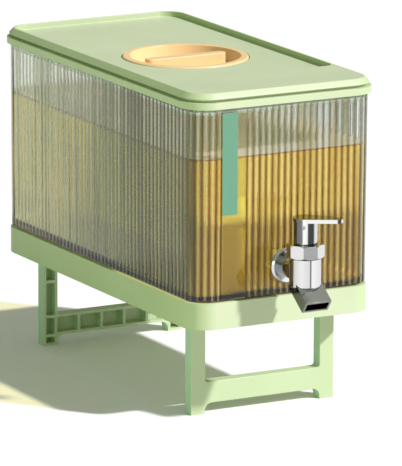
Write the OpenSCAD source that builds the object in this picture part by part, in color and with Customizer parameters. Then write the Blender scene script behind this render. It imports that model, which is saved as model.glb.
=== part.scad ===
// Drink jug with a tap, a lift-off lid, a bayonet fill cap and a tray on two folding leg frames.
// Origin: on the surface it stands on, in the middle of the whole length, tap included.
// X runs across the tap face, Y from the tap face to the back, Z up.
// The pieces are drawn about the middle of the tray, and on_centre() moves them to the origin.

/* [Tray] */
// Width of the tray, across the tap face
tray_w = 160; // [150:1:180]
// Length of the tray, from tap face to back
tray_l = 326; // [300:1:360]
// Radius of the tray's upright corners
corner_r = 19.4; // [14:0.1:22]
// Height of the tray's skirt
tray_h = 20.8; // [20:0.1:26]
// Height of the tray's lower edge above the surface it stands on
tray_lift = 75.5; // [70:0.5:95]

/* [Legs] */
// Distance from the tap end of the tray to the front frame's flat face
front_leg_inset = 34.4; // [30:0.1:45]
// Distance from the back end of the tray to the rear frame's flat face
rear_leg_inset = 31; // [28:0.1:45]
// Distance from the tray's side to the outside of a post
leg_side_inset = 16.6; // [15:0.1:24]
// Width of a post
post_w = 12.4; // [11:0.1:15]
// Thickness of a leg frame
leg_t = 10.1; // [8:0.1:10.5]
// Height of the crossbar's lower edge
bar_z = 8.4; // [7.4:0.1:12]
// Height of the crossbar
bar_h = 17; // [12:0.5:22]
// Diameter of a hinge pin
pin_d = 4; // [3:0.1:4.4]

/* [Jug] */
// Height of the clear container's outer wall
body_h = 149.8; // [130:0.1:170]
// Thickness of the container's wall
body_wall = 2.6; // [2:0.1:3]
// Shadow gap between the tray and the container
body_gap = 1.2; // [0.8:0.1:2]
// Width of the plain level strip
strip_w = 13.3; // [8:0.1:18]

/* [Lid] */
// Height of the lid from its lower edge to its rim
lid_h = 12.2; // [11.8:0.1:14]
// Depth of the recess in the lid's top
recess_depth = 4.4; // [4.2:0.1:4.8]
// Length of the full-height land at the tap end of the lid
front_land = 59; // [50:1:70]

/* [Fill cap] */
// Radius of the cap's ring
cap_r = 50.2; // [49:0.1:52]
// How far the cap's ring stands above the recess
cap_proud = 1; // [0.6:0.1:1.4]
// Depth of the finger dish
dish_depth = 9.8; // [8:0.1:10]
// Length of the grip bar
grip_l = 71; // [60:1:74]
// Width of the grip bar
grip_w = 9.5; // [8:0.1:12]

/* [Tap] */
// Height of the shank above the tray's top
tap_rise = 24.2; // [22:0.1:30]
// Distance from the container's face to the middle of the barrel
tap_reach = 31; // [30:0.1:38]
// Diameter of the barrel
barrel_d = 24.8; // [22.8:0.1:25]
// Diameter over the corners of the collar nut
collar_d = 29.4; // [27:0.1:30]
// Length of the lever from the middle of the barrel
lever_l = 29; // [24:0.5:36]
// Angle of the lever from straight out, a little more than half open
lever_turn = 50; // [0:1:90]

/* [Hidden] */
$fn = 96;

// Colours
green = "#b9cf9b";
deep_green = "#9dbb7e";
cream = "#f7d999";
clear = "#cfd6cf";
chrome = "#c9ccd0";
white = "#e9ece9";
dark = "#5b6062";
sage = "#82b898";

over = 1;                // how far a cutting shape runs past what it cuts
fit = 0.05;              // radial clearance of a pin in its hole
stop_gap = 0.3;          // clearance at a stop

// Levels, from the surface it stands on
tray_z = tray_lift;
tray_top = tray_lift + tray_h;
skirt_t = 2.6;           // thickness of the tray's skirt
seat_depth = 3.3;        // depth of the seat that takes the container's foot
seat_w = 4;              // width of the rim round the seat
floor_t = 3;             // thickness of the tray's floor
seat_z = tray_top - seat_depth;
ceiling_z = seat_z - floor_t;
body_z = tray_top + body_gap;
body_top = body_z + body_h;
lid_z = body_top + 0.5;
lid_top = lid_z + lid_h;
recess_z = lid_top - recess_depth;

// Legs
half_frame = tray_w / 2 - leg_side_inset;
inner_x = half_frame - post_w;
knuckle_r = leg_t / 2;
pivot_z = ceiling_z - knuckle_r - 1.4;
front_pivot_y = -tray_l / 2 + front_leg_inset + knuckle_r;
rear_pivot_y = tray_l / 2 - rear_leg_inset - knuckle_r;
leg_wall = 2.3;          // wall of the legs' channel section
bar_bays = 5;            // pockets along the crossbar
leg_fillet = 6;          // fillet under the crossbar
lug_t = 3;               // thickness of a hinge lug
lug_gap = 0.5;           // side play of a post between its lugs
lug_w = 10;              // width of a hinge lug
pin_head_t = 1.5;
clip_t = 0.8;
lug_in = inner_x - lug_gap - lug_t;
lug_out = half_frame + lug_gap + lug_t;

// Container
body_inset = 0.16;       // how far the container's face lies inside the tray's
body_w = tray_w - 2 * body_inset;
body_l = tray_l - 2 * body_inset;
body_r = corner_r - body_inset;
body_floor = 3.2;
foot_play = 0.4;         // play of the foot in the tray's seat
foot_in = seat_w + foot_play;
face_y = -body_l / 2;
strip_x = -56;           // left edge of the level strip
strip_drop = 3.2;        // distance from the lid down to the strip
strip_h = 79.6;
strip_t = 0.4;

// Lid
lip_out = 2.8;           // how far the lid's lip stands past the tray
lip_h = 5.4;             // height of the lip
ridge_up = 7.5;          // height of the ridge above the lid's lower edge
ridge_in = 1.8;          // the ridge's inset from the lip
ridge_h = 0.9;
groove_in = 4.6;         // depth of the groove between lip and ridge
rim_in = 5.4;            // the rim's inset from the lip: the wall slopes out from it to the ridge
rim_h = 0.8;
rim_t = 2;               // width of the rim round the recess
lid_plate = 3;           // thickness under the recess
skirt_play = 0.6;        // clearance of the inner skirt in the container
skirt_d = 5.2;           // depth of the inner skirt below the lid's lower edge
skirt_w = 3.2;
lid_w = tray_w + 2 * lip_out;
lid_l = tray_l + 2 * lip_out;
lid_r = corner_r + lip_out;
recess_in = rim_in + rim_t;
skirt_out = body_inset + body_wall + skirt_play;
recess_front = -tray_l / 2 + front_land;
recess_r = 7;
seal_h = 2.4;
seal_up = 1.2;           // height of the seal above the inner skirt's lower end
seal_in = 1.6;           // depth of the lid seal's groove

// Fill neck and cap
cap_top = recess_z + cap_proud;
flange_t = 3;            // thickness of the cap's ring
seat_r = cap_r + 0.6;
ledge_z = cap_top - flange_t - stop_gap;
bore_r = cap_r - 3;      // the neck's bore
neck_t = 2.6;
neck_z = lid_z - 7.8;    // the neck's lower end
catch_in = 2.8;          // how far the catch flange reaches in
catch_t = 2.5;
lugs = 3;
lug_angle = 24;          // angle that a bayonet lug covers
notch_angle = 34;        // angle that a notch covers
skirt_r = bore_r - 0.6;  // the cap's skirt
skirt_end = cap_top - 10.6;
dish_r = skirt_r - 2.8;
dish_low_r = dish_r - 1.8;
dish_z = cap_top - dish_depth;
dish_t = 1.8;
ring_z = cap_top - 8.6;  // lower edge of the cap seal's groove
ring_h = 3;
plug_r = bore_r - catch_in - 0.4;
plug_z = neck_z - 3.2;
plug_t = 2;

// Tap
tap_z = tray_top + tap_rise;
tap_y = face_y - tap_reach;
barrel_r = barrel_d / 2;
barrel_low = tap_z - 9.5;
barrel_high = tap_z + 12;
valve_r = barrel_r - 2.9;
valve_low = tap_z - 6.5;
collar_h = 11.2;
collar_high = barrel_high + collar_h;
stem_r = 5;
shank_r = 9;
thread_r = 7;
passage_r = 4.5;
flange_r = 14.2;
flange_h = 3;
washer_t = 2;
nut_t = 6;
spout_w = 22.4;          // width of the spout
spout_t = 10.4;          // thickness of the spout
spout_wall = 1.6;
spout_slope = 36;        // how far the spout points below level
spout_l = 19.6;          // length of the spout's upper side
spout_heel = 29.6;       // length of its lower side
spout_root = [5.6, -7.2]; // where the upper side starts, out from and above the shank's axis
hub_r = 9.3;
hub_low = collar_high + 0.4;
hub_h = 18;
lever_t = 2;
lever_tip_r = 5.2;
cross_pin_d = 3;
cross_pin_z = hub_low + 13.5;

// Middle of the whole length, from the front of the spout or lever to the back of the lid
lever_front = (lever_l - lever_tip_r) * cos(lever_turn) + lever_tip_r;
spout_front = spout_root[0] + spout_l * cos(spout_slope);
middle_y = (tap_y - max(lever_front, spout_front) + lid_l / 2) / 2;

// Moves a piece drawn about the tray's middle to the origin
module on_centre() {
    translate([0, -middle_y, 0]) children();
}

// A plate with round corners; grow enlarges it on every side
module slab(w, l, r, h, grow = 0) {
    linear_extrude(h) rounded(w + 2 * grow, l + 2 * grow, r + grow);
}

module rounded(w, l, r) {
    square([w - 2 * r, l], center = true);
    square([w, l - 2 * r], center = true);
    for (x = [-1, 1], y = [-1, 1])
        translate([x * (w / 2 - r), y * (l / 2 - r)]) circle(r);
}

// A cylinder along X from x0 to x1
module rod_x(x0, x1, r) {
    translate([x0, 0, 0]) rotate([0, 90, 0]) cylinder(h = x1 - x0, r = r);
}

// A cylinder along Y from y0 to y1
module rod_y(y0, y1, r, fn = $fn) {
    translate([0, y0, 0]) rotate([-90, 0, 0]) cylinder(h = y1 - y0, r = r, $fn = fn);
}

// A ring with a rectangular section
module ring(r_in, r_out, h) {
    difference() {
        cylinder(h = h, r = r_out);
        translate([0, 0, -over]) cylinder(h = h + 2 * over, r = r_in);
    }
}

// A wedge of a ring, centred on +X
module ring_wedge(r_in, r_out, h, angle) {
    rotate([0, 0, -angle / 2]) rotate_extrude(angle = angle) translate([r_in, 0]) square([r_out - r_in, h]);
}

// Puts a child at both hinges, on both sides of the stand
module at_hinges() {
    for (y = [front_pivot_y, rear_pivot_y], side = [0, 1])
        translate([0, y, pivot_z]) mirror([side, 0, 0]) children();
}

// One lug of a hinge, hanging from the tray's floor
module hinge_lug(x0) {
    difference() {
        union() {
            rod_x(x0, x0 + lug_t, lug_w / 2);
            translate([x0, -lug_w / 2, 0]) cube([lug_t, lug_w, ceiling_z - pivot_z + floor_t / 2]);
        }
        rod_x(x0 - over, x0 + lug_t + over, pin_d / 2 + fit);
    }
}

// The rib that a post's flat face meets when the frame stands, on the outer side of the pivot
module stand_stop() {
    translate([inner_x, -knuckle_r - stop_gap - leg_wall, -knuckle_r])
        cube([post_w, leg_wall, ceiling_z - pivot_z + knuckle_r + floor_t / 2]);
}

module base_tray() {
    pad_h = ceiling_z - pivot_z - knuckle_r - stop_gap;
    color(green) on_centre() {
        difference() {
            translate([0, 0, tray_z]) slab(tray_w, tray_l, corner_r, tray_h);
            translate([0, 0, tray_z - over])
                slab(tray_w, tray_l, corner_r, ceiling_z - tray_z + over, -skirt_t);
            translate([0, 0, seat_z]) slab(tray_w, tray_l, corner_r, seat_depth + over, -seat_w);
        }
        at_hinges() {
            hinge_lug(lug_in);
            hinge_lug(lug_out - lug_t);
        }
        translate([0, front_pivot_y, pivot_z]) for (side = [0, 1]) mirror([side, 0, 0]) stand_stop();
        translate([0, rear_pivot_y, pivot_z])
            for (side = [0, 1]) mirror([side, 0, 0]) mirror([0, 1, 0]) stand_stop();
        // Ribs that the folded frames lie against
        for (y = [front_pivot_y + pivot_z / 2, rear_pivot_y - pivot_z / 2])
            translate([-half_frame, y - leg_wall / 2, ceiling_z - pad_h])
                cube([2 * half_frame, leg_wall, pad_h + floor_t / 2]);
    }
}

module hinge_pins() {
    color(chrome) on_centre() at_hinges() {
        rod_x(lug_in, lug_out + 2 * clip_t, pin_d / 2);
        rod_x(lug_in - pin_head_t, lug_in, pin_d / 2 + 1.5);
    }
}

module pin_clips() {
    color(dark) on_centre() at_hinges() difference() {
        rod_x(lug_out, lug_out + clip_t, pin_d / 2 + 2);
        rod_x(lug_out - over, lug_out + clip_t + over, pin_d / 2);
    }
}

// Fillet in the corner between the X axis and the Z axis, in 2D
module fillet(r) {
    difference() {
        square(r);
        translate([r, r]) circle(r);
    }
}

// The frame's outline, X across and Y up
module leg_outline() {
    translate([-inner_x, bar_z]) square([2 * inner_x, bar_h]);
    for (side = [0, 1]) mirror([side, 0]) {
        translate([inner_x, 0]) square([post_w, pivot_z]);
        translate([inner_x, bar_z]) mirror([1, 0]) mirror([0, 1]) fillet(leg_fillet);
        translate([inner_x, bar_z + bar_h]) mirror([1, 0]) fillet(leg_wall);
    }
}

// A leg frame standing on its feet, flat face at -Y and the pivot on the Z axis
module leg_frame() {
    post_rib = (pivot_z - bar_z - bar_h) / 2;
    post_pockets = [
        [leg_wall, bar_z - leg_wall / 2],
        [bar_z + leg_wall / 2, bar_z + bar_h - leg_wall],
        [bar_z + bar_h, bar_z + bar_h + post_rib - leg_wall],
        [bar_z + bar_h + post_rib, pivot_z - knuckle_r - leg_wall]
    ];
    bay = (2 * inner_x + leg_wall) / bar_bays;
    difference() {
        union() {
            translate([0, knuckle_r, 0]) rotate([90, 0, 0]) linear_extrude(leg_t) leg_outline();
            for (side = [0, 1]) mirror([side, 0, 0])
                translate([0, 0, pivot_z]) rod_x(inner_x, half_frame, knuckle_r);
        }
        for (side = [0, 1]) mirror([side, 0, 0]) {
            for (p = post_pockets)
                translate([inner_x + leg_wall, leg_wall - knuckle_r, p[0]])
                    cube([post_w - 2 * leg_wall, leg_t, p[1] - p[0]]);
            translate([0, 0, pivot_z]) rod_x(inner_x - over, half_frame + over, pin_d / 2 + fit);
        }
        for (i = [0 : bar_bays - 1])
            translate([-inner_x + i * bay, leg_wall - knuckle_r, bar_z + leg_wall])
                cube([bay - leg_wall, leg_t, bar_h - 2 * leg_wall]);
    }
}

module front_leg() {
    color(deep_green) on_centre() translate([0, front_pivot_y, 0]) leg_frame();
}

module rear_leg() {
    color(deep_green) on_centre() translate([0, rear_pivot_y, 0]) mirror([0, 1, 0]) leg_frame();
}

module jug_body() {
    color(clear, 0.5) on_centre() difference() {
        union() {
            translate([0, 0, body_z]) slab(body_w, body_l, body_r, body_h);
            translate([0, 0, seat_z]) slab(tray_w, tray_l, corner_r, body_z - seat_z + over, -foot_in);
        }
        translate([0, 0, body_z + body_floor]) slab(body_w, body_l, body_r, body_h, -body_wall);
        // Hollow under the floor, inside the foot
        translate([0, 0, seat_z - over])
            slab(tray_w, tray_l, corner_r, body_z - seat_z + over, -foot_in - body_wall);
        translate([0, 0, tap_z]) rod_y(face_y - over, face_y + body_wall + over, thread_r + 0.2);
    }
}

module level_strip() {
    color(sage) on_centre() translate([strip_x, face_y - strip_t, body_top - strip_drop - strip_h])
        cube([strip_w, strip_t, strip_h]);
}

module outer_washer() {
    color(white) on_centre() translate([0, 0, tap_z]) difference() {
        rod_y(face_y - washer_t, face_y, flange_r - 1.2);
        rod_y(face_y - washer_t - over, face_y + over, thread_r);
    }
}

module tap_flange() {
    color(chrome) on_centre() translate([0, face_y - washer_t, tap_z]) rotate([90, 0, 0]) rotate_extrude()
        polygon([[thread_r, 0], [flange_r, 0], [flange_r, 1.2], [flange_r - 1.4, flange_h],
                 [thread_r, flange_h]]);
}

module inner_washer() {
    y0 = face_y + body_wall;
    color(white) on_centre() translate([0, 0, tap_z]) difference() {
        rod_y(y0, y0 + washer_t, flange_r - 2);
        rod_y(y0 - over, y0 + washer_t + over, thread_r);
    }
}

module lock_nut() {
    y0 = face_y + body_wall + washer_t;
    color(white) on_centre() translate([0, 0, tap_z]) difference() {
        rod_y(y0, y0 + nut_t, 12.4, 6);
        rod_y(y0 - over, y0 + nut_t + over, thread_r);
    }
}

// The spout's side outline, Y out of the jug and Z up: wall is taken off above and below,
// past lengthens the mouth, and heel is the length of the lower side
module spout_side(wall, past, heel) {
    along = [cos(spout_slope), -sin(spout_slope)];
    down = [-sin(spout_slope), -cos(spout_slope)];
    a = spout_root + wall * down;
    b = a + (spout_l + past) * along;
    c = b + (spout_t - 2 * wall) * down;
    d = c - (heel + past) * along;
    polygon([a, b, c, d]);
}

module tap_body() {
    shank_end = face_y + body_wall + washer_t + nut_t + 3;
    color(chrome) on_centre() difference() {
        union() {
            translate([0, tap_y, barrel_low]) cylinder(h = barrel_high - barrel_low, r = barrel_r);
            translate([0, tap_y, barrel_low - 2])
                cylinder(h = 2, r1 = barrel_r - 2, r2 = barrel_r);
            translate([0, 0, tap_z]) {
                rod_y(tap_y, face_y - washer_t - flange_h, shank_r);
                rod_y(tap_y, shank_end, thread_r);
            }
            translate([spout_w / 2, tap_y, tap_z]) rotate([90, 0, -90])
                linear_extrude(spout_w) spout_side(0, 0, spout_heel);
        }
        translate([0, tap_y, valve_low]) cylinder(h = barrel_high, r = valve_r);
        translate([0, 0, tap_z]) rod_y(tap_y, shank_end + over, passage_r);
        // Way from under the valve plug down the spout
        translate([spout_w / 2 - spout_wall, tap_y, tap_z]) rotate([90, 0, -90])
            linear_extrude(spout_w - 2 * spout_wall) spout_side(spout_wall, over, spout_heel - 3);
        translate([0, tap_y, barrel_low - 1]) cylinder(h = valve_low - barrel_low + 2, r = 5.5);
    }
}

module collar_nut() {
    color(chrome) on_centre() translate([0, tap_y, barrel_high]) difference() {
        // An eight-sided nut, its corners turned off at both ends
        intersection() {
            rotate([0, 0, 10]) cylinder(h = collar_h, d = collar_d, $fn = 8);
            rotate_extrude()
                polygon([[0, -over], [barrel_r - 0.5, -over], [collar_d / 2 + 0.5, 2.4],
                         [collar_d / 2 + 0.5, collar_h - 1.5], [collar_d / 2 - 2, collar_h + over],
                         [0, collar_h + over]]);
        }
        translate([0, 0, -over]) cylinder(h = collar_h - 4 + over, r = valve_r + 0.3);
        translate([0, 0, -over]) cylinder(h = collar_h + 2 * over, r = stem_r + 0.1);
    }
}

// Sits round the stem, pressed down by the collar nut
module stem_seal() {
    color(dark) on_centre() translate([0, tap_y, collar_high - 7]) ring(stem_r + fit, valve_r, 3);
}

// Turns a child with the lever
module with_lever() {
    translate([0, tap_y, 0]) rotate([0, 0, lever_turn]) children();
}

module valve_plug() {
    plug_h = collar_high - 7 - stop_gap - valve_low;
    color(white) on_centre() with_lever() difference() {
        union() {
            translate([0, 0, valve_low + stop_gap]) cylinder(h = plug_h - stop_gap, r = valve_r - fit);
            translate([0, 0, valve_low + plug_h - over])
                cylinder(h = hub_low + hub_h - 4 - valve_low - plug_h + over, r = stem_r);
        }
        // Hollow, open below, with a port that faces the shank when the lever points along +X
        translate([0, 0, valve_low]) cylinder(h = plug_h - 4, r = valve_r - 2);
        translate([0, 0, tap_z]) rod_x(0, valve_r + over, passage_r);
        translate([0, 0, cross_pin_z]) rod_x(-stem_r - over, stem_r + over, cross_pin_d / 2);
    }
}

module tap_handle() {
    color(chrome) on_centre() with_lever() difference() {
        union() {
            translate([0, 0, hub_low]) cylinder(h = hub_h, r = hub_r);
            translate([0, 0, hub_low + hub_h - over]) linear_extrude(lever_t + over) lever_outline();
        }
        translate([0, 0, hub_low - over]) cylinder(h = hub_h - 4 + over, r = stem_r + fit);
        translate([0, 0, cross_pin_z]) rod_x(-hub_r - over, hub_r + over, cross_pin_d / 2);
    }
}

// The lever seen from above, pointing along -Y
module lever_outline() {
    circle(hub_r + 0.6);
    translate([0, -lever_l + lever_tip_r]) circle(lever_tip_r);
    polygon([
        [-hub_r, -3],
        [-lever_tip_r, lever_tip_r - lever_l],
        [lever_tip_r, lever_tip_r - lever_l],
        [hub_r, -3]
    ]);
}

module handle_pin() {
    pin_half = hub_r - 0.3;
    color(dark) on_centre() with_lever() translate([0, 0, cross_pin_z])
        rod_x(-pin_half, pin_half, cross_pin_d / 2);
}

// Boards of the lid that lie inside its outline, from z0 up
module lid_slab(z0, h, inset) {
    translate([0, 0, z0]) slab(lid_w, lid_l, lid_r, h, -inset);
}

// The recess, with tight corners at the land and the lid's own corners at the back
module recess_outline() {
    half_w = lid_w / 2 - recess_in;
    back = lid_l / 2 - recess_in;
    back_r = lid_r - recess_in;
    translate([-half_w, recess_front + recess_r])
        square([2 * half_w, back - back_r - recess_front - recess_r]);
    translate([-half_w + recess_r, recess_front]) square([2 * (half_w - recess_r), back_r]);
    translate([-half_w + back_r, back - 2 * back_r]) square([2 * (half_w - back_r), 2 * back_r]);
    for (side = [-1, 1]) {
        translate([side * (half_w - recess_r), recess_front + recess_r]) circle(recess_r);
        translate([side * (half_w - back_r), back - back_r]) circle(back_r);
    }
}

// The catches under which the cap's lugs turn, with a notch between each pair
module catches() {
    for (i = [0 : lugs - 1])
        rotate([0, 0, 90 + (i + 0.5) * 360 / lugs]) translate([0, 0, neck_z])
            ring_wedge(bore_r - catch_in, bore_r + neck_t / 2, catch_t, 360 / lugs - notch_angle);
}

module lid() {
    color(green) on_centre() {
        catches();
        lid_shell();
    }
}

module lid_shell() {
    skirt_inset = lip_out + skirt_out;
    difference() {
        union() {
            lid_slab(lid_z, lip_h, 0);
            lid_slab(lid_z, ridge_up + over, groove_in);
            hull() {
                lid_slab(lid_z + ridge_up, ridge_h, ridge_in, $fn = 40);
                lid_slab(lid_top - rim_h, rim_h, rim_in, $fn = 40);
            }
            lid_slab(lid_z - skirt_d, skirt_d + over, skirt_inset);
            // Lower end of the fill neck, which hangs past the skirt
            translate([0, 0, neck_z]) cylinder(h = lid_z - neck_z, r = bore_r + neck_t - 0.2);
        }
        translate([0, 0, recess_z]) linear_extrude(recess_depth + over) recess_outline();
        // Hollow underside, deeper under the full-height land
        difference() {
            lid_slab(lid_z - skirt_d - over, recess_z - lid_plate - lid_z + skirt_d + over,
                     skirt_inset + skirt_w);
            translate([0, 0, neck_z]) cylinder(h = lid_h + neck_z, r = bore_r + neck_t);
            translate([0, 0, ledge_z - lid_plate]) cylinder(h = lid_h, r = seat_r + neck_t);
        }
        intersection() {
            lid_slab(lid_z, lid_h - lid_plate, skirt_inset + skirt_w);
            translate([-lid_w / 2, -lid_l / 2, lid_z])
                cube([lid_w, front_land - lid_plate, lid_h]);
        }
        // Groove for the lid seal
        difference() {
            lid_slab(lid_z - skirt_d + seal_up, seal_h, 0);
            lid_slab(lid_z - skirt_d, skirt_d, skirt_inset + seal_in);
        }
        // Fill neck: the bore, and the seat of the cap's ring
        translate([0, 0, neck_z - over]) cylinder(h = lid_h + skirt_d, r = bore_r);
        translate([0, 0, ledge_z]) cylinder(h = lid_h, r = seat_r);
    }
}

module lid_seal() {
    color(white) on_centre() difference() {
        lid_slab(lid_z - skirt_d + seal_up, seal_h, lip_out + skirt_out - 0.35);
        lid_slab(lid_z - skirt_d, skirt_d, lip_out + skirt_out + seal_in);
    }
}

module cap_seal() {
    color(white) on_centre() translate([0, 0, ring_z + 0.2])
        ring(skirt_r - 1.9, skirt_r + 0.3, ring_h - 0.4);
}

module grip_bar() {
    translate([0, 0, dish_z - 0.5]) linear_extrude(dish_depth + 0.3) {
        square([grip_l - grip_w, grip_w], center = true);
        for (side = [-1, 1]) translate([side * (grip_l - grip_w) / 2, 0]) circle(grip_w / 2);
    }
}

module fill_cap() {
    color(cream) on_centre() {
        rotate_extrude() difference() {
            polygon([[0, dish_z - dish_t], [dish_low_r, dish_z - dish_t], [dish_low_r, skirt_end],
                     [skirt_r, skirt_end], [skirt_r, cap_top - flange_t], [cap_r, cap_top - flange_t],
                     [cap_r, cap_top - 1], [cap_r - 1, cap_top], [dish_r, cap_top],
                     [dish_low_r, dish_z], [0, dish_z]]);
            translate([skirt_r - 2, ring_z]) square([2 + over, ring_h]);
        }
        grip_bar();
    }
}

module cap_plug() {
    color(cream) on_centre() {
        difference() {
            translate([0, 0, plug_z]) cylinder(h = skirt_end - plug_z, r = plug_r);
            translate([0, 0, plug_z + plug_t]) cylinder(h = skirt_end, r = plug_r - plug_t);
        }
        for (i = [0 : lugs - 1])
            rotate([0, 0, 90 + i * 360 / lugs]) translate([0, 0, plug_z])
                ring_wedge(plug_r - plug_t / 2, bore_r - 0.4, neck_z - plug_z - stop_gap, lug_angle);
    }
}

base_tray();
hinge_pins();
pin_clips();
front_leg();
rear_leg();
jug_body();
level_strip();
tap_body();
tap_flange();
outer_washer();
inner_washer();
lock_nut();
collar_nut();
stem_seal();
valve_plug();
tap_handle();
handle_pin();
lid();
lid_seal();
cap_seal();
fill_cap();
cap_plug();
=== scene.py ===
"""Looks of the drink jug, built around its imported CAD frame."""
import math

import bmesh
import bpy
from mathutils import Matrix, Vector


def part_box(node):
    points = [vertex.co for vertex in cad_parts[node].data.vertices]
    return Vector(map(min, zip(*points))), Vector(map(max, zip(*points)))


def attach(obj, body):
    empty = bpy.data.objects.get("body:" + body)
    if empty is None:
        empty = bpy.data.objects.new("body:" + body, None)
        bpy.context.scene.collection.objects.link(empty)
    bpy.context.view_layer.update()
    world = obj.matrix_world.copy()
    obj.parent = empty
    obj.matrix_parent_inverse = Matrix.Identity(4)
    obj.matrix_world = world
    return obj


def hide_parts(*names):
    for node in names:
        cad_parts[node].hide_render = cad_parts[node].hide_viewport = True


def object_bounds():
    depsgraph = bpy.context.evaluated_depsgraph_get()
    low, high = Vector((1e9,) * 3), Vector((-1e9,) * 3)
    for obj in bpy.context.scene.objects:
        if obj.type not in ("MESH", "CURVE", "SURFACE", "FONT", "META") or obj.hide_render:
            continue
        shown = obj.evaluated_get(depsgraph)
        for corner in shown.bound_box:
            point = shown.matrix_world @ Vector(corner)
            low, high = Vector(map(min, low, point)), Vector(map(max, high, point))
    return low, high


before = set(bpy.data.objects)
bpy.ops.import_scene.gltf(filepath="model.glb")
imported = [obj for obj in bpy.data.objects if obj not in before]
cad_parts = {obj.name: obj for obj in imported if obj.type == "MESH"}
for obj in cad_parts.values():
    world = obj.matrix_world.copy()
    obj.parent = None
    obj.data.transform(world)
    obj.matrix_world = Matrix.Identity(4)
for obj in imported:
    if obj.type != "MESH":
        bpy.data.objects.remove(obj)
cad_low, cad_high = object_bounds()
MM = 0.001


# ---------------------------------------------------------------- places, all from the frame

class Box:
    """A CAD node's box, with its middle and its size."""

    def __init__(self, node):
        self.lo, self.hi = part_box(node)
        self.mid = (self.lo + self.hi) / 2
        self.size = self.hi - self.lo


tray = Box("base_tray")
jug = Box("jug_body")
lid = Box("lid")
cap_plug = Box("cap_plug")
MID = Vector((0, tray.mid.y, 0))     # the middle of the tray, on the floor
HALF_W = jug.size.x / 2              # half the container's width and length
HALF_L = jug.size.y / 2
CORNER_R = 19.24 * MM                # its upright corners
WALL = 2.6 * MM
BASE_Z = tray.hi.z + 1.2 * MM        # the underside of its wide part, a shadow gap above the tray
FLOOR_Z = BASE_Z + 3.2 * MM          # the top of its floor
DRINK_TOP = 208 * MM


# ---------------------------------------------------------------- camera and lights

CAMERA_TURN = -28.65                 # degrees from straight in front of the tap face
CAMERA_RISE = 12.78
CAMERA_ROLL = 0.29
CAMERA_FAR = 4.455
CAMERA_LENS = 433.7
CAMERA_AIM = 0.140                   # height above the middle of the tray's place on the floor
CAMERA_RIGHT = 0.01304               # how far the aim is then moved in the picture's plane
CAMERA_DOWN = 0.02669


def view_axes(turn, rise):
    """Right, up and back of a view, azimuth 0 looking along +Y."""
    a, e = math.radians(turn), math.radians(rise)
    back = Vector((math.sin(a) * math.cos(e), -math.cos(a) * math.cos(e), math.sin(e)))
    right = Vector((math.cos(a), math.sin(a), 0))
    return right, back.cross(right), back


def make_camera():
    right, up, back = view_axes(CAMERA_TURN, CAMERA_RISE)
    target = MID + Vector((0, 0, CAMERA_AIM)) + right * CAMERA_RIGHT - up * CAMERA_DOWN
    data = bpy.data.cameras.new("camera")
    data.lens = CAMERA_LENS
    data.clip_start, data.clip_end = 0.1, 100
    cam = bpy.data.objects.new("camera", data)
    turn = Matrix((right, up, back)).transposed() @ Matrix.Rotation(math.radians(CAMERA_ROLL), 3, "Z")
    cam.matrix_world = Matrix.Translation(target + back * CAMERA_FAR) @ turn.to_4x4()
    bpy.context.collection.objects.link(cam)
    bpy.context.scene.camera = cam


def place_lamp(data, turn, rise, at=(0, 0, 0)):
    """Puts a lamp at a place, shining from a direction in the frame."""
    back = view_axes(turn, rise)[2]
    lamp = bpy.data.objects.new(data.name, data)
    lamp.matrix_world = Matrix.Translation(at) @ back.to_track_quat("Z", "Y").to_matrix().to_4x4()
    bpy.context.collection.objects.link(lamp)


def sun(name, turn, rise, strength, softness, colour):
    """An even light from far off; softness is the angle it spans, in degrees."""
    data = bpy.data.lights.new(name, "SUN")
    data.energy, data.angle, data.color = strength, math.radians(softness), colour
    place_lamp(data, turn, rise)


def area_light(name, turn, rise, far, size, watts, colour):
    """A soft panel aimed at the tap end of the tray."""
    data = bpy.data.lights.new(name, "AREA")
    data.shape, data.size, data.size_y = "RECTANGLE", size[0], size[1]
    data.energy, data.color = watts, colour
    aim = Vector((tray.lo.x, tray.lo.y, tray.mid.z))
    place_lamp(data, turn, rise, aim + view_axes(turn, rise)[2] * far)


# ---------------------------------------------------------------- shader helpers

NOISE_LOW, NOISE_HIGH = 0.3, 0.7     # most of a noise texture's values lie between these


def linear(hex_colour):
    """Linear red, green and blue of an sRGB colour."""
    values = [int(hex_colour[i:i + 2], 16) / 255 for i in (1, 3, 5)]
    return [v / 12.92 if v <= 0.04045 else ((v + 0.055) / 1.055) ** 2.4 for v in values]


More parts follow.
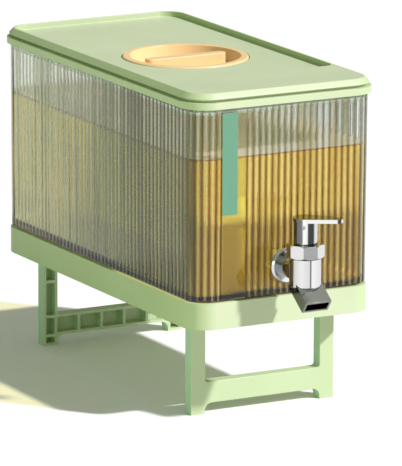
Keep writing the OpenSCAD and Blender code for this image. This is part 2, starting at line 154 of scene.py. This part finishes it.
class Shader:
    """A new material's node tree with short ways to add nodes."""

    def __init__(self, name):
        self.material = bpy.data.materials.new(name)
        self.material.use_nodes = True
        self.tree = self.material.node_tree
        self.principled = self.tree.nodes["Principled BSDF"]
        self.output = self.tree.nodes["Material Output"]

    def link(self, out, into):
        self.tree.links.new(out, into)

    def feed(self, value, socket):
        """Links a socket's output, or sets a colour (a tuple) or a number."""
        if isinstance(value, bpy.types.NodeSocket):
            self.link(value, socket)
        elif isinstance(value, tuple):
            socket.default_value = (*value, 1)
        else:
            socket.default_value = value

    def node(self, kind, **inputs):
        made = self.tree.nodes.new("ShaderNode" + kind)
        for key, value in inputs.items():
            made.inputs[key.replace("_", " ")].default_value = value
        return made

    def surface(self, **inputs):
        """What goes into the main shader."""
        for key, value in inputs.items():
            self.feed(value, self.principled.inputs[key.replace("_", " ")])

    def place(self):
        """Object coordinates, which stay with the piece as it moves."""
        return self.node("TexCoord").outputs["Object"]

    def normal(self):
        return self.split(self.node("TexCoord").outputs["Normal"])

    def split(self, vector):
        """The X, Y and Z of a vector."""
        node = self.node("SeparateXYZ")
        self.link(vector, node.inputs[0])
        return node.outputs

    def math(self, operation, *values):
        node = self.node("Math")
        node.operation = operation
        for value, socket in zip(values, node.inputs):
            self.feed(value, socket)
        return node.outputs[0]

    def mix(self, share, first, second, blend="MIX"):
        node = self.node("MixRGB")
        node.blend_type = blend
        for value, key in ((share, "Fac"), (first, "Color1"), (second, "Color2")):
            self.feed(value, node.inputs[key])
        return node.outputs["Color"]

    def times(self, first, second):
        return self.mix(1, first, second, "MULTIPLY")

    def noise(self, scale, detail=2, stretch=(1, 1, 1)):
        mapping = self.node("Mapping", Scale=stretch)
        self.link(self.place(), mapping.inputs["Vector"])
        noise = self.node("TexNoise", Scale=scale, Detail=detail)
        self.link(mapping.outputs["Vector"], noise.inputs["Vector"])
        return noise.outputs["Fac"]

    def remap(self, value, start, end, low=0, high=1):
        """Goes from low to high as value goes from start to end, and stays there beyond them."""
        node = self.node("MapRange", From_Min=start, From_Max=end, To_Min=low, To_Max=high)
        self.link(value, node.inputs["Value"])
        return node.outputs["Result"]

    def spread(self, noise, low, high):
        """A noise's values spread from low to high."""
        return self.remap(noise, NOISE_LOW, NOISE_HIGH, low, high)

    def colours(self, value, stops):
        """The stops' colours, (position, colour), as value goes from 0 to 1."""
        node = self.node("ValToRGB")
        elements = node.color_ramp.elements
        while len(elements) < len(stops):
            elements.new(0.5)
        for element, (position, colour) in zip(elements, stops):
            element.position, element.color = position, (*colour, 1)
        self.link(value, node.inputs["Fac"])
        return node.outputs["Color"]

    def shaded(self, noise, colour, shade):
        """A colour that a noise darkens in places, down to shade of it."""
        return self.colours(noise, [(NOISE_LOW, [c * shade for c in colour]), (NOISE_HIGH, colour)])

    def bump(self, value, height, strength):
        node = self.node("Bump", Strength=strength, Distance=height)
        self.link(value, node.inputs["Height"])
        self.surface(Normal=node.outputs["Normal"])


# ---------------------------------------------------------------- kinds of material

def moulded_plastic(name, colour, shade=0.94, rough=(0.36, 0.46), side=(1, 1, 1)):
    """Moulded plastic: faint cloudiness, a fine grain, uneven gloss, and painted light and shade: a tint
    on faces that look along X."""
    s = Shader(name)
    cloudy = s.shaded(s.noise(14), linear(colour), shade)
    side_light_share = s.math("ABSOLUTE", s.normal()["X"])
    s.surface(Base_Color=s.mix(side_light_share, cloudy, side, "MULTIPLY"))
    s.surface(Roughness=s.spread(s.noise(60, 3), *rough))
    s.surface(IOR=1.5, Specular_IOR_Level=0.36)
    s.bump(s.noise(2600), height=0.04 * MM, strength=0.5)
    return s.material


def chrome_painted_reflections(name, upward_reflection, reflection_tones):
    """Plated metal with painted reflections of its studio: its grey turns with the way the surface faces.
    The second argument is the painted reflection's grey on faces that look up, and the third lists its
    greys round about, as (degrees round from -Y towards +X, grey)."""
    s = Shader(name)
    normal = s.normal()
    turn = s.math("ARCTAN2", normal["X"], s.math("MULTIPLY", normal["Y"], -1))
    part = s.math("MULTIPLY_ADD", turn, 0.5 / math.pi, 0.5)
    stops = [(angle / 360 + 0.5, (grey * 0.98, grey * 0.99, grey)) for angle, grey in reflection_tones]
    colour = s.colours(part, stops)
    # the painted reflection's grey on faces that look down
    downward_reflection = 0.2
    for grey, start, end in ((upward_reflection, 0.35, 0.8), (downward_reflection, -0.25, -0.6)):
        colour = s.mix(s.remap(normal["Z"], start, end), colour, (grey, grey, grey))
    s.surface(Base_Color=colour, Metallic=1, Roughness=s.spread(s.noise(240, 4), 0.08, 0.16))
    s.bump(s.noise(70, 1), height=0.02 * MM, strength=0.3)
    return s.material


def brushed_steel(name, colour):
    """Turned or formed steel with fine streaks."""
    s = Shader(name)
    streaks = s.noise(400, 3, stretch=(0.1, 1, 1))
    s.surface(Base_Color=s.shaded(streaks, linear(colour), 0.7), Metallic=1)
    s.surface(Roughness=s.spread(s.noise(240, 4), 0.22, 0.34))
    return s.material


def clear_plastic(name, colour, ior, rough, see_colour, waves, clear=1):
    """The shader of a clear plastic or a liquid: it bends light for the eye and lets lamps through.
    Waves are the height and the scale of its bumps, and clear is how much of it is see-through."""
    s = Shader(name)
    s.surface(Base_Color=colour, Transmission_Weight=clear, IOR=ior)
    s.surface(Roughness=s.spread(s.noise(30), *rough))
    height, scale = waves
    s.bump(s.noise(scale, stretch=(1, 1, 0.15)), height, strength=0.6)
    path = s.node("LightPath")
    lamp_ray = s.math("MAXIMUM", path.outputs["Is Shadow Ray"], path.outputs["Is Diffuse Ray"])
    through = s.node("BsdfTransparent", Color=(*see_colour, 1))
    mix = s.node("MixShader")
    s.link(lamp_ray, mix.inputs["Fac"])
    s.link(s.principled.outputs[0], mix.inputs[1])
    s.link(through.outputs[0], mix.inputs[2])
    s.link(mix.outputs[0], s.output.inputs["Surface"])
    return s


# ---------------------------------------------------------------- the container's painted light and shade

# The container's walls are painted by place, tuned for the camera's view: the short walls from the foot
# up to the drink's top, the long ones from the tap end to the back. The paint stays where it is if the
# drink or the light changes.
# This paint is painted light and shade on the clear walls: the drink and the studio seen through them, and
# the way the flutes bend that view.
BARE = -0.05                          # depth, in flutes, where there is no fluting
NO_TINT = (1, 1, 1)
SHORT_ABOVE = (0.98, 0.99, 0.98)      # the short walls above the drink
# Painted light and shade of the drink seen through the short walls: more golden towards the foot, and in the
# window also darker.
SHORT_BESIDE = [(0.54, (1.0, 0.92, 0.52)), (0.6, (1.0, 1.0, 0.76))]
WINDOW_BESIDE = [(0.54, (0.70, 0.56, 0.26)), (0.6, (1.0, 1.0, 0.76))]
# The long walls above the drink carry a painted cool reflection.
LONG_ABOVE = (0.93, 1.0, 1.0)         # the long walls above the drink
# Painted light and shade of the drink seen through the long walls: darker over the tap end's half, lighter
# towards the back.
LONG_BESIDE = [
    (0.02, (0.68, 0.66, 0.34)), (0.42, (0.50, 0.62, 0.46)),
    (0.72, (0.95, 1.0, 0.82)), (1.0, (0.98, 1.0, 0.84))]
# Painted shade: the line that the drink's top shows through the long walls.
LONG_DRINK_LINE_SHADE = [                         # a dark line on the long walls, at the drink's top
    (0, NO_TINT), (0.35, (0.5, 0.5, 0.4)), (0.65, (0.5, 0.5, 0.4)), (1, NO_TINT)]
SHORT_UNEVEN = [(0, (0.74, 0.64, 0.40)), (0.42, NO_TINT)]     # how the light through the flutes
LONG_UNEVEN = [(0.1, (0.34, 0.36, 0.22)), (0.48, NO_TINT)]    # differs from one to the next
# Painted shade in the flutes' grooves, above and beside the drink and on the long walls.
SHORT_GROOVE_SHADE_ABOVE = (0.28, 0.30, 0.26)                           # the dark of the grooves
SHORT_GROOVE_SHADE_BESIDE = (0.13, 0.05, 0.005)
LONG_GROOVE_SHADE = [(0.3, (0.08, 0.09, 0.05)), (0.8, (0.36, 0.40, 0.26))]
CLOUDY = [(0, NO_TINT), (0.33, (0.85, 0.85, 0.85)), (0.5, (0.85, 0.85, 0.85)), (1, NO_TINT)]


def walls_with_painted_light(s):
    """Adds painted light and shade to a clear shader: tints on the container's walls, shade in its grooves.
    """
    place = s.split(s.place())
    groove_depth = s.node("Attribute")
    groove_depth.attribute_name = "groove"
    deep = groove_depth.outputs["Fac"]
    on_long_wall = s.remap(s.math("ABSOLUTE", s.normal()["X"]), 0.6, 0.8)
    above = s.remap(place["Z"], DRINK_TOP, DRINK_TOP + 2 * MM)
    upwards = s.remap(place["Z"], jug.lo.z, DRINK_TOP)
    lengthwise = s.remap(place["Y"], jug.lo.y, jug.hi.y)
    line = s.remap(place["Z"], DRINK_TOP - 1.6 * MM, DRINK_TOP + 0.8 * MM)
    in_window = s.remap(deep, 0, BARE)

    # The walls' painted light and shade, with a painted shade line at the drink's top on the long walls.
    long_wall = s.mix(above, s.colours(lengthwise, LONG_BESIDE), LONG_ABOVE)
    long_wall = s.times(long_wall, s.colours(line, LONG_DRINK_LINE_SHADE))
    beside = s.mix(in_window, s.colours(upwards, SHORT_BESIDE), s.colours(upwards, WINDOW_BESIDE))
    short_wall = s.mix(above, beside, SHORT_ABOVE)
    per_flute = s.remap(s.noise(170, 1, stretch=(1, 1, 0.03)), 0.35, 0.65)
    uneven = s.mix(on_long_wall, s.colours(per_flute, SHORT_UNEVEN), s.colours(per_flute, LONG_UNEVEN))
    wall = s.times(s.mix(on_long_wall, short_wall, long_wall), uneven)

    # Painted shade in the grooves, by the flutes' depth.
    short_groove_shade = s.mix(above, SHORT_GROOVE_SHADE_BESIDE, SHORT_GROOVE_SHADE_ABOVE)
    groove = s.mix(on_long_wall, short_groove_shade, s.colours(lengthwise, LONG_GROOVE_SHADE))
    groove_shade_share = s.mix(on_long_wall, s.remap(deep, 0.08, 0.5), s.remap(deep, 0, 0.3))
    s.surface(Base_Color=s.mix(groove_shade_share, wall, groove))
    s.surface(Transmission_Weight=s.colours(s.remap(deep, BARE, 0.10), CLOUDY))
    return s


# ---------------------------------------------------------------- the materials

# The side tints are painted: shade on the tray's and the lid's faces along X, teal light on the legs'.
GREEN = moulded_plastic("green_plastic", "#c0cea6", side=(0.80, 0.94, 0.66))
# The legs' plastic is the tray's green with painted shade, a little darker.
SHADED_LEG_GREEN = moulded_plastic("leg_plastic", "#b8ca9e", side=(0.86, 1.1, 1.06))
CREAM = moulded_plastic("cap_plastic", "#ebcb94", 0.96, (0.28, 0.36))
SAGE = moulded_plastic("strip", "#639578", 0.95, (0.3, 0.4))
WHITE = moulded_plastic("valve_plastic", "#e4e6e3", 0.96)
SILICONE = moulded_plastic("silicone", "#dfe2dc", 0.97, (0.5, 0.6))
# The chrome pieces' greys are painted reflections, set by the way each face looks.
CHROME_PAINTED_REFLECTIONS = chrome_painted_reflections("chrome", 0.75, [
    (-180, 0.4), (-110, 0.25), (-86, 0.25), (-70, 0.62), (-40, 0.72), (-14, 0.66), (-11.5, 0.12), (-9, 0.12),
    (-6, 0.8), (30, 0.72), (60, 0.62), (80, 0.3), (130, 0.75), (180, 0.4)])
NUT_CHROME_PAINTED_REFLECTIONS = chrome_painted_reflections("nut_chrome_with_painted_reflections", 0.8, [
    (-180, 0.3), (-150, 0.7), (-100, 0.3), (-90, 0.64), (-56, 0.68), (-48, 0.36), (-10, 0.36),
    (-2, 0.7), (35, 0.74), (45, 0.4), (90, 0.7), (180, 0.3)])
HANDLE_CHROME_PAINTED_REFLECTIONS = chrome_painted_reflections("handle_chrome_with_painted_reflections", 0.3, [
    (-180, 0.6), (-122, 0.5), (-112, 0.13), (-46, 0.16), (-40, 0.85), (-22, 0.8), (-17, 0.06),
    (10, 0.05), (20, 0.7), (50, 0.7), (61, 0.3), (75, 0.3), (180, 0.6)])
STEEL = brushed_steel("steel", "#b9bcc0")
PLASTIC_IOR = 1.5
WATER_IOR = 1.34
# The container's clear plastic, with painted light and shade on its walls.
CLEAR_PAINTED_LIGHT = walls_with_painted_light(clear_plastic(
    "clear_plastic", SHORT_ABOVE, PLASTIC_IOR, rough=(0.02, 0.06), see_colour=(0.95, 0.97, 0.95),
    waves=(0.02 * MM, 40))).material
DRINK = clear_plastic(
    "drink", (1.0, 0.80, 0.10), WATER_IOR, rough=(0.0, 0.03), see_colour=(0.99, 0.93, 0.72),
    waves=(0.01 * MM, 30), clear=0.9).material
# Painted shade: a brown band on the drink where its meniscus climbs the wall.
DRINK_EDGE_SHADE = clear_plastic(
    "drink_edge_shade", (0.30, 0.13, 0.02), WATER_IOR, rough=(0.1, 0.2), see_colour=(0.97, 0.9, 0.7),
    waves=(0.01 * MM, 30), clear=0.6).material
DRINK_FACE = clear_plastic(
    "drink_face", (0.97, 0.92, 0.80), WATER_IOR, rough=(0.1, 0.2), see_colour=(0.97, 0.9, 0.7),
    waves=(0.04 * MM, 60), clear=0.6).material


# ---------------------------------------------------------------- mesh helpers

def true_normals(thing):
    """Lets large faces rule the shading, so that flat walls look flat."""
    normals = thing.modifiers.new("normals", "WEIGHTED_NORMAL")
    normals.keep_sharp = True
    normals.weight = 80


def piece(name, mesh, material, body, smooth, replaces=()):
    """A finished piece: its material, smooth up to an angle in degrees, riding on its body."""
    mesh.materials.append(material)
    for face in mesh.polygons:
        face.use_smooth = True
    mesh.set_sharp_from_angle(angle=math.radians(smooth))
    made = bpy.data.objects.new(name, mesh)
    bpy.context.collection.objects.link(made)
    true_normals(made)
    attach(made, body)
    if replaces:
        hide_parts(*replaces)
    return made


def loft(name, loops):
    """A closed skin through loops of points, each with the same number of points."""
    mesh = bpy.data.meshes.new(name)
    count = len(loops[0])
    faces = []
    for i in range(len(loops) - 1):
        a, b = i * count, (i + 1) * count
        faces += [(a + k, a + (k + 1) % count, b + (k + 1) % count, b + k) for k in range(count)]
    faces.append(tuple(reversed(range(count))))
    faces.append(tuple(range((len(loops) - 1) * count, len(loops) * count)))
    mesh.from_pydata([tuple(p) for loop in loops for p in loop], [], faces)
    fix = bmesh.new()
    fix.from_mesh(mesh)
    bmesh.ops.recalc_face_normals(fix, faces=fix.faces)
    fix.to_mesh(mesh)
    fix.free()
    return mesh


# ---------------------------------------------------------------- the fluted container

FLUTE_DEPTH = 0.6 * MM
FLUTE_STEPS = 10
FLUTE_EDGE = math.radians(17)        # where on its arc a flute's rounded rib meets the groove
WINDOW = (-56.2 * MM, -34.2 * MM)    # the plain window on the tap face
DRAFT = 0.7 * MM                     # how much narrower the container is at its foot


def flutes(count, start, end):
    """Places along a side, 0 at its start and 1 at its end, and how deep each lies, 0 to 1."""
    out = []
    for i in range(count * FLUTE_STEPS):
        angle = FLUTE_EDGE + (math.pi - 2 * FLUTE_EDGE) * (i % FLUTE_STEPS) / FLUTE_STEPS
        place = i // FLUTE_STEPS + 0.5 - 0.5 * math.cos(angle) / math.cos(FLUTE_EDGE)
        deep = (1 - math.sin(angle)) / (1 - math.sin(FLUTE_EDGE))
        out.append((start + (end - start) * place / count, deep))
    return out


def plain(start, end):
    """A stretch without flutes, with a narrow groove at its start."""
    edge = 0.05 * (end - start)
    return [(start, 1.0), (start + edge, BARE), ((start + end) / 2, BARE), (end - edge, BARE)]


def side_columns():
    """The flutes of the four sides and the corners, as lists of (place, depth)."""
    span = 2 * (HALF_W - CORNER_R)
    left, right = [(x + span / 2) / span for x in WINDOW]
    front = flutes(1, 0, left) + plain(left, right) + flutes(17, right, 1)
    side, back, corner = flutes(48, 0, 1), flutes(21, 0, 1), flutes(5, 0, 1)
    return [front, corner, side, corner, back, corner, side, corner]


def fluted_loop(columns, inset, z, depth=0.0):
    """One loop round the container: inset moves the whole loop in, depth is how deep the flutes are."""
    a, b, r = HALF_W - CORNER_R, HALF_L - CORNER_R, CORNER_R
    corners = [(a, -b), (a, b), (-a, b), (-a, -b)]
    starts = [(-a, -b), (a, -b), (a, b), (-a, b)]
    loop = []
    for k in range(4):
        turn = math.radians(90 * k)
        along = Vector((math.cos(turn), math.sin(turn)))
        out = Vector((math.sin(turn), -math.cos(turn)))
        length = 2 * (a if k % 2 == 0 else b)
        for place, deep in columns[2 * k]:
            loop.append(Vector(starts[k]) + along * length * place + out * (r - inset - depth * deep))
        for place, deep in columns[2 * k + 1]:
            angle = turn + math.radians(-90 + 90 * place)
            arm = Vector((math.cos(angle), math.sin(angle)))
            loop.append(Vector(corners[k]) + arm * (r - inset - depth * deep))
    return [(p.x, p.y + MID.y, z) for p in loop]


def make_container():
    columns = side_columns()
    deeps = [deep for side in columns for _, deep in side]
    # The foot and the rim get painted shadow, as deep as in a groove, where the tray and the lid shade them.
    painted_shadow, bare = [1.0] * len(deeps), [BARE] * len(deeps)     # painted as grooves, and as plain wall
    foot_z, top_z = jug.lo.z, jug.hi.z
    foot = 4.24 * MM                      # how far in the foot is set
    inner_foot = foot + WALL
    inner_low = WALL + DRAFT
    round_edge = 0.3 * MM
    rim = 0.5 * MM
    profile = [                           # (paint, inset, height, depth of the flutes)
        # the floor's underside and the inside of the foot
        (bare, inner_foot + round_edge, BASE_Z - 0.2 * MM, 0), (bare, inner_foot, BASE_Z - 0.5 * MM, 0),
        (painted_shadow, inner_foot, foot_z + round_edge, 0), (painted_shadow, inner_foot - round_edge, foot_z, 0),
        # the outside of the foot and the step above it
        (painted_shadow, foot + round_edge, foot_z, 0), (painted_shadow, foot, foot_z + round_edge, 0),
        (painted_shadow, foot, BASE_Z - 0.4 * MM, 0), (painted_shadow, foot - 0.4 * MM, BASE_Z, 0),
        # the outer wall
        (painted_shadow, DRAFT + 1.6 * MM, BASE_Z, 0), (painted_shadow, DRAFT + 0.5 * MM, BASE_Z + 0.15 * MM, FLUTE_DEPTH * 0.9),
        (deeps, DRAFT, BASE_Z + 0.8 * MM, FLUTE_DEPTH), (deeps, DRAFT, BASE_Z + 1.6 * MM, FLUTE_DEPTH),
        (deeps, 0, top_z - 1.8 * MM, FLUTE_DEPTH), (painted_shadow, 0, top_z - 1.1 * MM, FLUTE_DEPTH),
        # the rim
        (painted_shadow, 0, top_z - rim, FLUTE_DEPTH), (painted_shadow, 0.35 * MM, top_z - 0.1 * MM, FLUTE_DEPTH * 0.8),
        (painted_shadow, 1.3 * MM, top_z, 0), (bare, WALL - round_edge, top_z, 0), (bare, WALL, top_z - rim, 0),
        # the inner wall and the floor
        (bare, WALL, top_z - 1.3 * MM, 0), (bare, inner_low, FLOOR_Z + 4.0 * MM, 0),
        (bare, inner_low, FLOOR_Z + 3.0 * MM, 0), (bare, inner_low + 0.6 * MM, FLOOR_Z + 1.2 * MM, 0),
        (bare, inner_low + 1.8 * MM, FLOOR_Z + 0.3 * MM, 0), (bare, inner_low + 3.2 * MM, FLOOR_Z, 0),
    ]
    mesh = loft("container", [fluted_loop(columns, *row[1:]) for row in profile])
    groove = mesh.attributes.new("groove", "FLOAT", "POINT")
    groove.data.foreach_set("value", [value for row in profile for value in row[0]])
    piece("container", mesh, CLEAR_PAINTED_LIGHT, "jug", 40, ["jug_body"])


def make_drink():
    clear = 0.15 * MM                     # between the drink and the container
    full = jug.hi.z - FLOOR_Z
    plain_columns = [[(i / 6, 0) for i in range(6)]] * 8
    profile = [
        # the foot, rounded like the container's floor, and the wall
        (3.2 * MM, FLOOR_Z + clear), (1.8 * MM, FLOOR_Z + clear + 0.3 * MM),
        (0.6 * MM, FLOOR_Z + clear + 1.2 * MM), (0, FLOOR_Z + 3.2 * MM), (0, FLOOR_Z + 4.2 * MM),
        # the meniscus and the top
        (0, DRINK_TOP - 0.4 * MM), (0, DRINK_TOP + 0.9 * MM), (0.5 * MM, DRINK_TOP + 0.45 * MM),
        (1.6 * MM, DRINK_TOP),
    ]
    loops = []
    for inset, z in profile:
        draft = DRAFT * (1 - (z - FLOOR_Z) / full)
        loops.append(fluted_loop(plain_columns, WALL + clear + draft + inset, z))
    made = piece("drink", loft("drink", loops), DRINK, "jug", 50)
    made.data.materials.append(DRINK_EDGE_SHADE)
    made.data.materials.append(DRINK_FACE)
    edge_shade_index, top_index = 1, 2
    for face in made.data.polygons:
        lowest = min(made.data.vertices[v].co.z for v in face.vertices)
        if lowest > DRINK_TOP - 0.5 * MM:
            face.material_index = edge_shade_index if lowest < DRINK_TOP - 0.1 * MM else top_index


# ---------------------------------------------------------------- CAD nodes that stay

SHARP = math.radians(25)                # edges that turn more than this are rounded
FLAT = math.radians(0.5)                # faces that turn less than this are joined
SAME_POINT = 0.001 * MM
LARGE_FACE = 100 * MM * MM
NECK_FOOT = lid.lo.z + 4 * MM           # the lid's fill neck ends in catches,
PLUG_FOOT = cap_plug.lo.z + 4 * MM      # and the cap's plug in lugs: both stay sharp


def modifier_group(name):
    """A new geometry node group, its geometry on the way in, and the socket for the way out."""
    group = bpy.data.node_groups.new(name, "GeometryNodeTree")
    for way in ("INPUT", "OUTPUT"):
        group.interface.new_socket("Geometry", in_out=way, socket_type="NodeSocketGeometry")
    start, end = group.nodes.new("NodeGroupInput"), group.nodes.new("NodeGroupOutput")
    return group, start.outputs[0], end.inputs[0]


def compare(group, value, operation, limit):
    node = group.nodes.new("FunctionNodeCompare")
    node.data_type, node.operation = "FLOAT", operation
    node.inputs["B"].default_value = limit
    group.links.new(value, node.inputs["A"])
    return node.outputs["Result"]


def flat_plates_group():
    """Shades every large face flat and leaves the small ones smooth."""
    group, geometry, out = modifier_group("flat_plates")
    area = group.nodes.new("GeometryNodeInputMeshFaceArea")
    shade = group.nodes.new("GeometryNodeSetShadeSmooth")
    small = compare(group, area.outputs[0], "LESS_THAN", LARGE_FACE)
    group.links.new(geometry, shade.inputs["Geometry"])
    group.links.new(small, shade.inputs["Shade Smooth"])
    group.links.new(shade.outputs[0], out)
    return group


def chosen_edges_group(low):
    """Marks the sharp edges above a height, for the bevel to round."""
    group, geometry, out = modifier_group("chosen_edges")
    angle = group.nodes.new("GeometryNodeInputMeshEdgeAngle")
    place = group.nodes.new("GeometryNodeInputPosition")
    split = group.nodes.new("ShaderNodeSeparateXYZ")
    both = group.nodes.new("FunctionNodeBooleanMath")
    store = group.nodes.new("GeometryNodeStoreNamedAttribute")
    store.domain, store.inputs["Name"].default_value = "EDGE", "bevel_weight_edge"
    group.links.new(place.outputs["Position"], split.inputs[0])
    sharp = compare(group, angle.outputs["Unsigned Angle"], "GREATER_THAN", SHARP)
    high = compare(group, split.outputs["Z"], "GREATER_THAN", low)
    group.links.new(sharp, both.inputs[0])
    group.links.new(high, both.inputs[1])
    group.links.new(both.outputs["Boolean"], store.inputs["Value"])
    group.links.new(geometry, store.inputs["Geometry"])
    group.links.new(store.outputs["Geometry"], out)
    return group


def finish_node(name, material, edge, sharp_below=None, whole_faces=True):
    """Gives a CAD node its material and rounds its edges by edge millimetres, but for those below
    sharp_below. Whole_faces joins the triangles of each flat face first."""
    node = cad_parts[name]
    node.data.materials.clear()
    node.data.materials.append(material)
    for face in node.data.polygons:
        face.use_smooth = True
    weld = node.modifiers.new("weld", "WELD")
    weld.merge_threshold = SAME_POINT
    if whole_faces:
        flat = node.modifiers.new("flat", "DECIMATE")
        flat.decimate_type, flat.angle_limit = "DISSOLVE", FLAT
    if sharp_below is not None:
        chosen = node.modifiers.new("chosen", "NODES")
        chosen.node_group = chosen_edges_group(sharp_below)
    bevel = node.modifiers.new("bevel", "BEVEL")
    bevel.width, bevel.segments = edge * MM, 3
    bevel.limit_method, bevel.angle_limit = "ANGLE" if sharp_below is None else "WEIGHT", SHARP
    bevel.use_clamp_overlap = True
    plates = node.modifiers.new("plates", "NODES")
    plates.node_group = FLAT_PLATES
    true_normals(node)


FLAT_PLATES = flat_plates_group()
NODE_LOOKS = {
    "base_tray": (GREEN, 0.7), "front_leg": (SHADED_LEG_GREEN, 0.4), "rear_leg": (SHADED_LEG_GREEN, 0.4),
    "hinge_pins": (STEEL, 0.2), "pin_clips": (STEEL, 0.15), "level_strip": (SAGE, 0.12),
    "tap_body": (CHROME_PAINTED_REFLECTIONS, 0.35), "tap_flange": (CHROME_PAINTED_REFLECTIONS, 0.3), "outer_washer": (SILICONE, 0.3),
    "inner_washer": (SILICONE, 0.3), "lock_nut": (WHITE, 0.4), "collar_nut": (NUT_CHROME_PAINTED_REFLECTIONS, 0.3),
    "stem_seal": (SILICONE, 0.2), "valve_plug": (WHITE, 0.2), "tap_handle": (HANDLE_CHROME_PAINTED_REFLECTIONS, 0.4),
    "handle_pin": (STEEL, 0.2), "lid": (GREEN, 0.35, NECK_FOOT), "lid_seal": (SILICONE, 0.4),
    "cap_seal": (SILICONE, 0.4), "fill_cap": (CREAM, 0.5), "cap_plug": (CREAM, 0.3, PLUG_FOOT, False),
}


# ---------------------------------------------------------------- the scene

def make_floor():
    s = Shader("floor")
    s.surface(Base_Color=s.shaded(s.noise(0.8), linear("#f4f5f2"), 0.97), Roughness=0.9)
    mesh = bpy.data.meshes.new("floor")
    far = 14
    mesh.from_pydata([(-far, -far, 0), (far, -far, 0), (far, far, 0), (-far, far, 0)], [], [(0, 1, 2, 3)])
    mesh.materials.append(s.material)
    floor = bpy.data.objects.new("floor", mesh)
    floor.location.z = cad_low.z
    bpy.context.collection.objects.link(floor)


def make_world():
    world = bpy.data.worlds.new("studio")
    bpy.context.scene.world = world
    world.use_nodes = True
    sky = world.node_tree.nodes["Background"]
    sky.inputs["Color"].default_value = (0.95, 1.02, 0.86, 1)
    sky.inputs["Strength"].default_value = 0.34


make_camera()
make_world()
make_floor()
sun("key", turn=38, rise=41, strength=4.3, softness=3, colour=(1, 0.95, 1.04))
area_light("fill", turn=-62, rise=12, far=0.9, size=(0.5, 0.3), watts=0.9, colour=(0.97, 1, 0.8))
bpy.context.scene.view_settings.view_transform = "Standard"

for node_name, look in NODE_LOOKS.items():
    finish_node(node_name, *look)
make_container()
make_drink()
